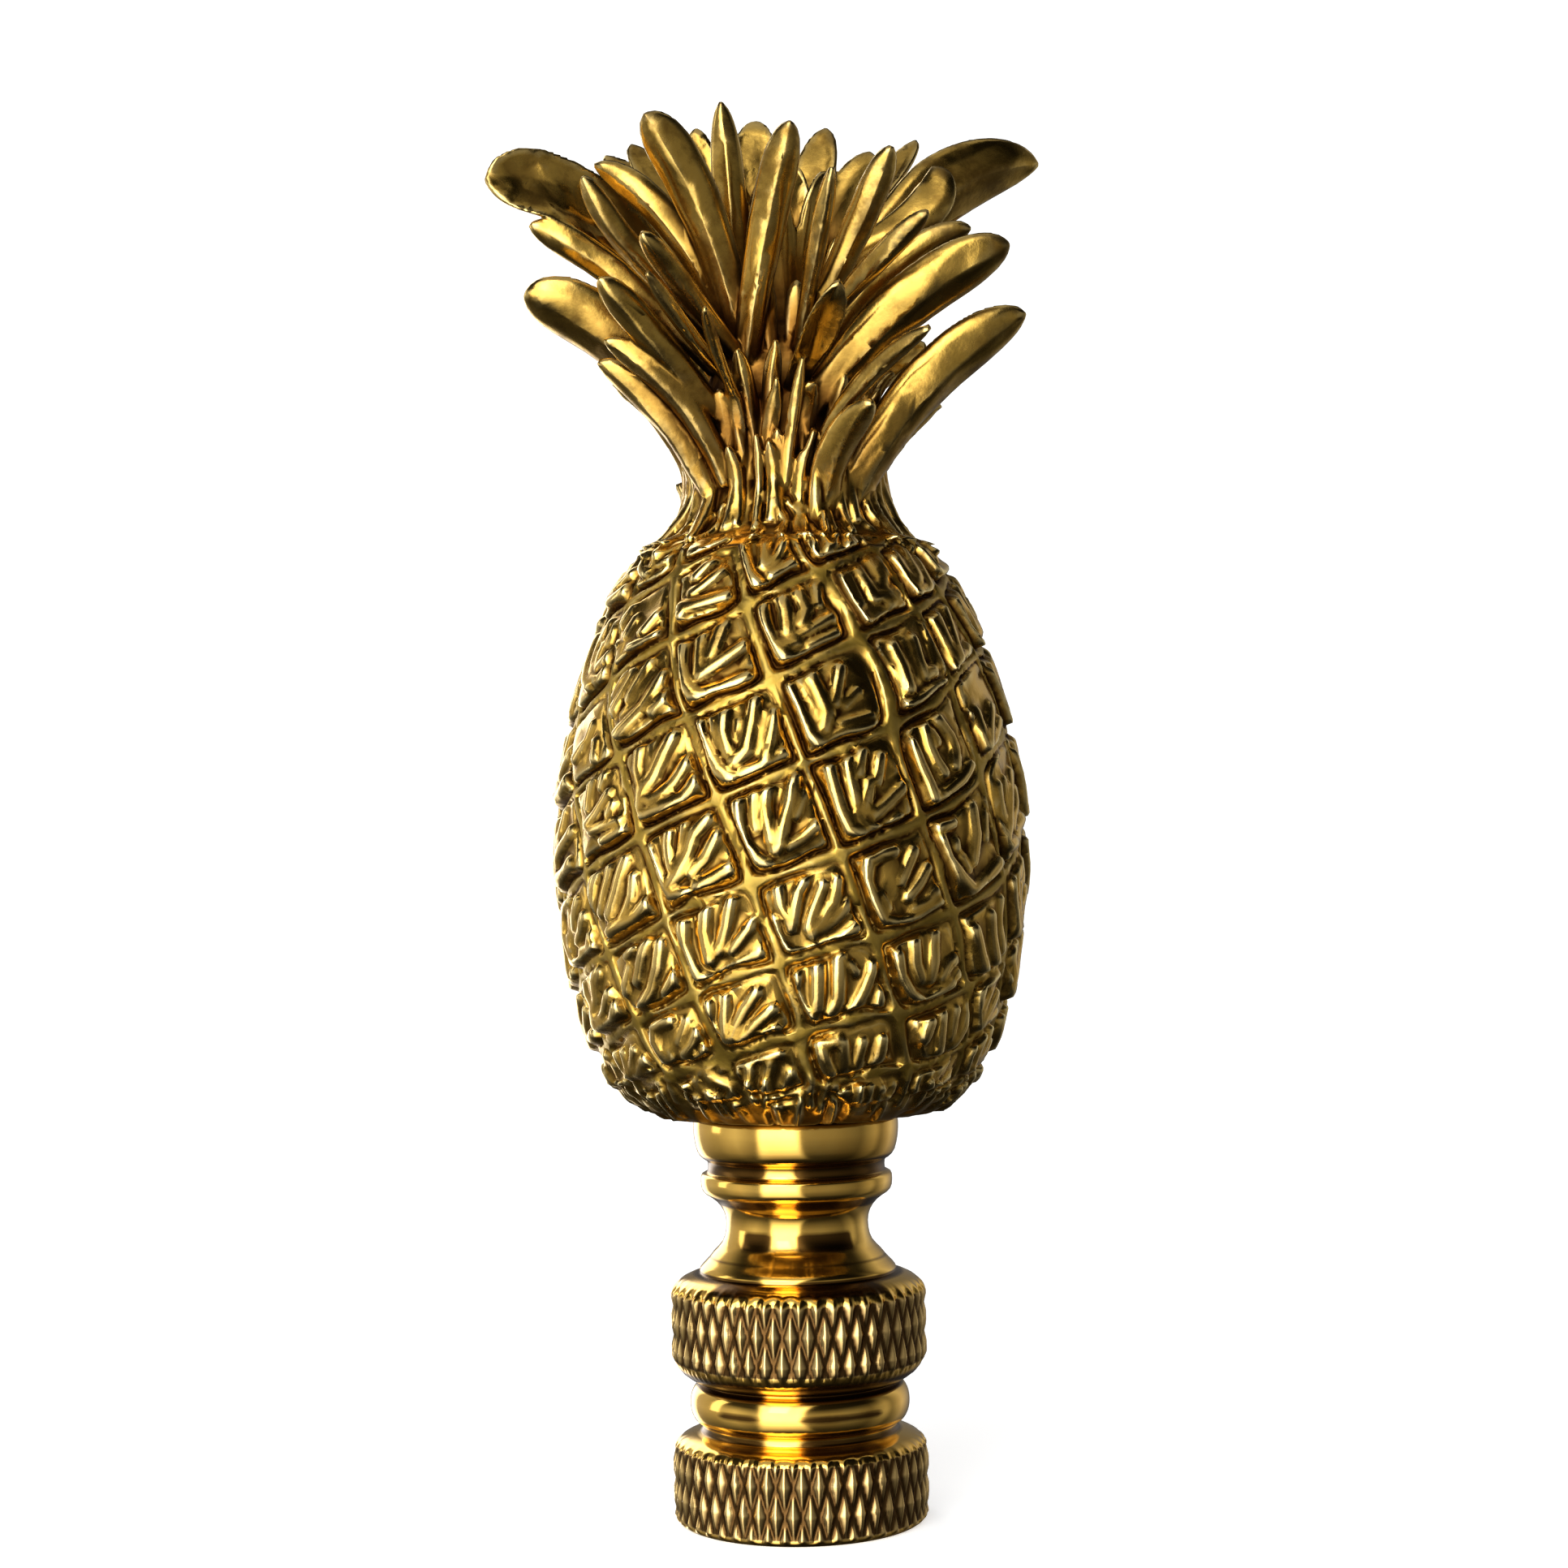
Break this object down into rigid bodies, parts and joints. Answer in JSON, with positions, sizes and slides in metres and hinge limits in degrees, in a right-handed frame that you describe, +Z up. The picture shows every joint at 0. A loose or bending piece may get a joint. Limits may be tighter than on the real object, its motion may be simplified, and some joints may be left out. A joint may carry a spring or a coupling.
{
  "type": "pineapple lamp finial",
  "caption": "Cast brass pineapple finial with a spreading crown of leaves on a turned, knurled base that screws down onto a lamp harp to hold the shade.",
  "frame": {"origin": "centre of the base's flat underside, on the turning axis", "axes": "+Z up along the base's turning axis towards the crown, -Y towards the viewer of the front, +X to the viewer's right"},
  "size_m": [0.0279, 0.0235, 0.0708],
  "materials": {
    "antique_brass_casting": "cast brass, rubbed bright on the high parts, dark brown patina in the recesses",
    "polished_brass_base": "turned and polished brass with cut diamond knurling, slightly darkened in the grooves"
  },
  "bodies": {
    "root": {"pineapple": "antique_brass_casting", "knurled_base": "polished_brass_base"}
  },
  "joints": []
}
